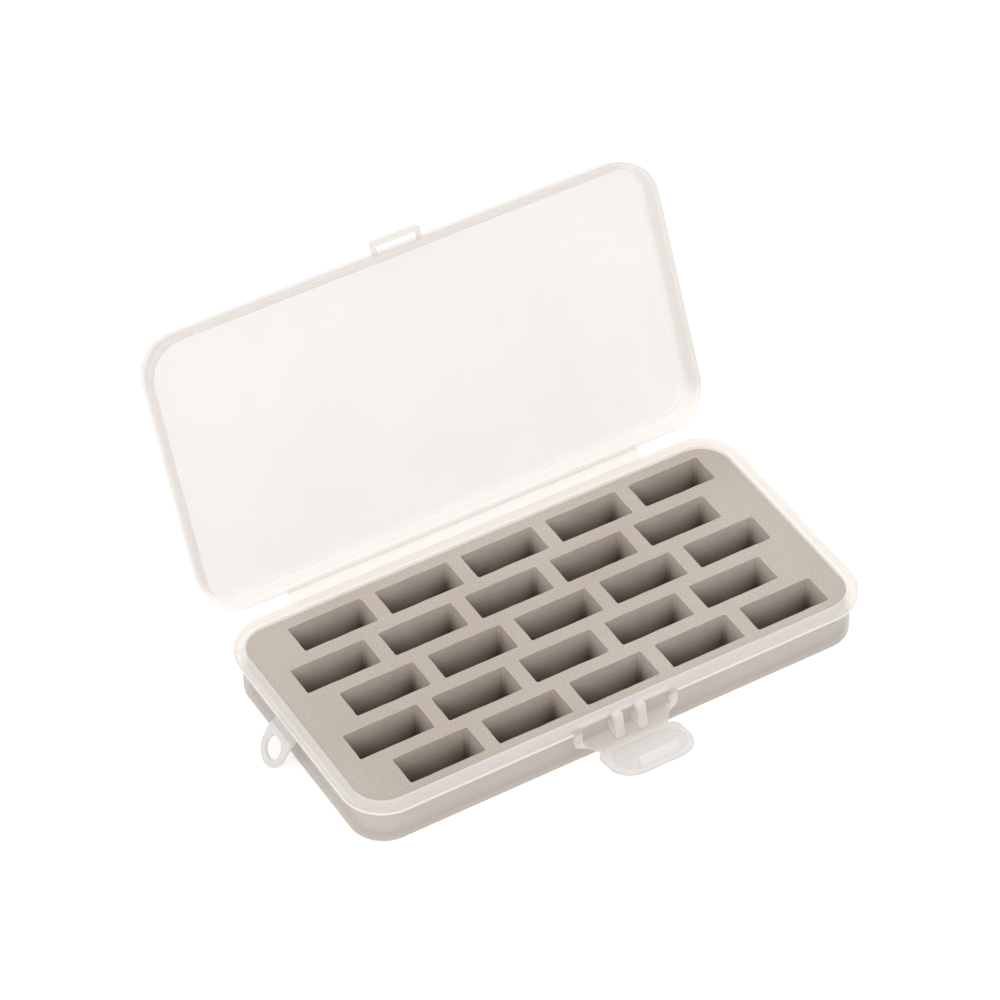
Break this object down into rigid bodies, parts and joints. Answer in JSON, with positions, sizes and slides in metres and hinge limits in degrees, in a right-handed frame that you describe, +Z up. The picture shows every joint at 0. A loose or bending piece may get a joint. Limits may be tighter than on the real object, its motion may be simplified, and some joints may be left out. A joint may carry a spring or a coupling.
{
  "type": "bobbin box",
  "caption": "Shallow hinged storage box in natural translucent plastic, with a fold-up front latch, a hang tab and a slotted foam insert that holds sewing bobbins on edge.",
  "frame": {"origin": "middle of the tray's underside, in plan the middle of the tray's rim", "axes": "+X along the box to the right of a person facing the latch, +Y to the lid hinge, +Z up"},
  "size_m": [0.1598, 0.1368, 0.0898],
  "materials": {
    "natural_polypropylene": "translucent, satin as moulded",
    "warm_grey_foam": "matt fine-celled foam, die cut"
  },
  "bodies": {
    "base": {"base_tray": "natural_polypropylene", "foam_base_sheet": "warm_grey_foam", "foam_insert": "warm_grey_foam"},
    "hinge_strip": {"hinge_strip": "natural_polypropylene"},
    "lid": {"lid": "natural_polypropylene"},
    "latch_flap": {"latch_flap": "natural_polypropylene"},
    "hang_tab": {"hang_tab": "natural_polypropylene"}
  },
  "joints": [
    {"name": "base_crease", "type": "hinge", "parent": "base", "child": "hinge_strip", "pos_m": [0, 0.0393, 0.0122], "axis": [1, 0, 0], "range_deg": [-33, 57]},
    {"name": "lid_crease", "type": "hinge", "parent": "hinge_strip", "child": "lid", "pos_m": [0, 0.04282, 0.01449], "axis": [1, 0, 0], "range_deg": [-33, 57]},
    {"name": "latch_fold", "type": "hinge", "parent": "base", "child": "latch_flap", "pos_m": [0, -0.0436, 0.007], "axis": [-1, 0, 0], "range_deg": [-35, 79]},
    {"name": "tab_fold", "type": "hinge", "parent": "base", "child": "hang_tab", "pos_m": [-0.0781, 0.0019, 0.0104], "axis": [0, 1, 0], "range_deg": [-28, 62]}
  ],
  "couplings": [
    {"joint": "base_crease", "follows": "lid_crease", "ratio": 1}
  ]
}
